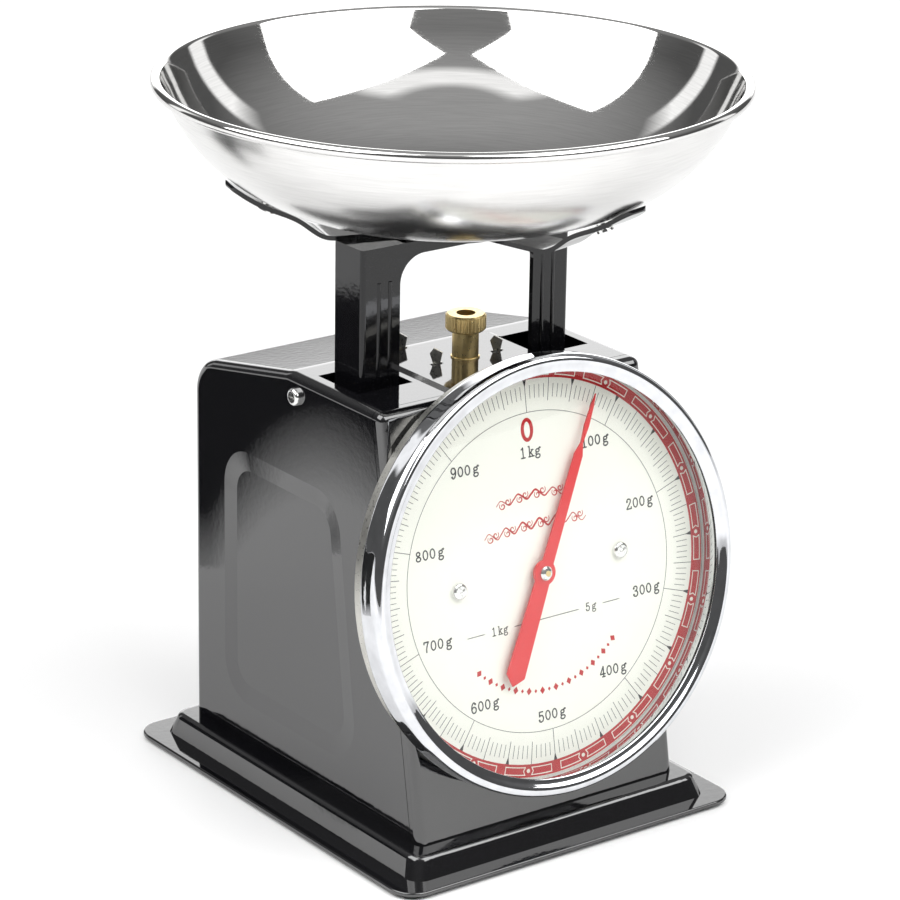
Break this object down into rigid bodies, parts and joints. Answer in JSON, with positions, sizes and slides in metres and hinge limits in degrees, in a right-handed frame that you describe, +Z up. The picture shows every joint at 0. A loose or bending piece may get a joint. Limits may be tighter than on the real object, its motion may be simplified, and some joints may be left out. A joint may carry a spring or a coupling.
{
  "type": "kitchen scale",
  "caption": "Retro spring kitchen scale: black steel case on a flanged base, leaning round dial with a red hand, arch with three arms and a lift-off steel bowl.",
  "frame": {"origin": "on the floor under the middle of the bowl", "axes": "+Z up, +X to the right of the dial, the dial faces -Y"},
  "size_m": [0.205, 0.205, 0.26],
  "materials": {
    "black_enamel": "gloss",
    "black_steel": "gloss",
    "polished_steel": "polished",
    "chrome": "polished",
    "zinc_steel": "satin",
    "screw_steel": "polished",
    "dial_enamel": "satin",
    "red_paint": "satin",
    "brass": "polished",
    "glass": "clear",
    "rubber": "matte",
    "spring_steel": "satin"
  },
  "bodies": {
    "body": {"base_plate": "black_enamel", "rubber_feet": "rubber", "base_screws": "screw_steel", "case_cover": "black_enamel", "front_panel": "black_enamel", "case_screws": "screw_steel", "dial_drum": "zinc_steel", "dial_plate": "dial_enamel", "dial_screws": "screw_steel", "bezel_ring": "chrome", "lens": "glass", "lens_gasket": "rubber", "shaft_bush": "brass", "gear_bridge": "zinc_steel", "bridge_screws": "screw_steel", "rack_guide": "zinc_steel", "spring_bracket": "zinc_steel", "knob_washer": "brass", "chassis": "zinc_steel", "upper_lever_pin": "zinc_steel", "lower_lever_pin": "zinc_steel", "stop_bumper": "rubber"},
    "tray": {"tray_frame": "black_steel", "carrier_bar": "zinc_steel", "carrier_rivets": "screw_steel", "rack_arm": "zinc_steel", "rack_screw": "screw_steel", "rack": "brass", "tray_spider": "black_steel", "spider_rivets": "screw_steel", "bowl_rests": "screw_steel", "spring_left": "spring_steel", "spring_right": "spring_steel"},
    "bowl": {"bowl": "polished_steel"},
    "pointer": {"pointer": "red_paint", "pointer_nut": "screw_steel", "pointer_shaft": "brass", "pinion": "brass"},
    "knob": {"zero_knob": "brass"},
    "hanger": {"spring_hanger": "zinc_steel"},
    "upper_lever": {"upper_lever": "zinc_steel"},
    "lower_lever": {"lower_lever": "zinc_steel"}
  },
  "joints": [
    {"name": "tray_slide", "type": "slide", "parent": "body", "child": "tray", "axis": [0, 0, -1], "range_m": [-0.00091, 0.01184], "stiffness_N_per_m": 769, "springref_m": -0.00852, "deforming": ["spring_left", "spring_right"]},
    {"name": "bowl_lift", "type": "slide", "parent": "tray", "child": "bowl", "axis": [0, 0, 1], "range_m": [0, 0.12]},
    {"name": "pointer_turn", "type": "hinge", "parent": "body", "child": "pointer", "pos_m": [0, -0.05445, 0.0964], "axis": [0, 0.9854, -0.1702], "range_deg": [-26, 335]},
    {"name": "knob_turn", "type": "hinge", "parent": "body", "child": "knob", "pos_m": [0.0035, -0.005, 0.165], "axis": [0, 0, 1], "range_deg": [-183, 183]},
    {"name": "hanger_slide", "type": "slide", "parent": "body", "child": "hanger", "axis": [0, 0, 1], "range_m": [-0.0004, 0.0004]},
    {"name": "upper_lever_turn", "type": "hinge", "parent": "body", "child": "upper_lever", "pos_m": [0, 0.058, 0.13254], "axis": [1, 0, 0], "range_deg": [-0.95, 11.5]},
    {"name": "lower_lever_turn", "type": "hinge", "parent": "body", "child": "lower_lever", "pos_m": [0, 0.058, 0.05454], "axis": [1, 0, 0], "range_deg": [-0.95, 11.5]}
  ],
  "couplings": [
    {"joint": "pointer_turn", "follows": "tray_slide", "rad_per_m": 492.7},
    {"joint": "upper_lever_turn", "follows": "tray_slide", "rad_per_m": 16.667},
    {"joint": "lower_lever_turn", "follows": "tray_slide", "rad_per_m": 16.667},
    {"joint": "knob_turn", "follows": "hanger_slide", "rad_per_m": -7854}
  ]
}
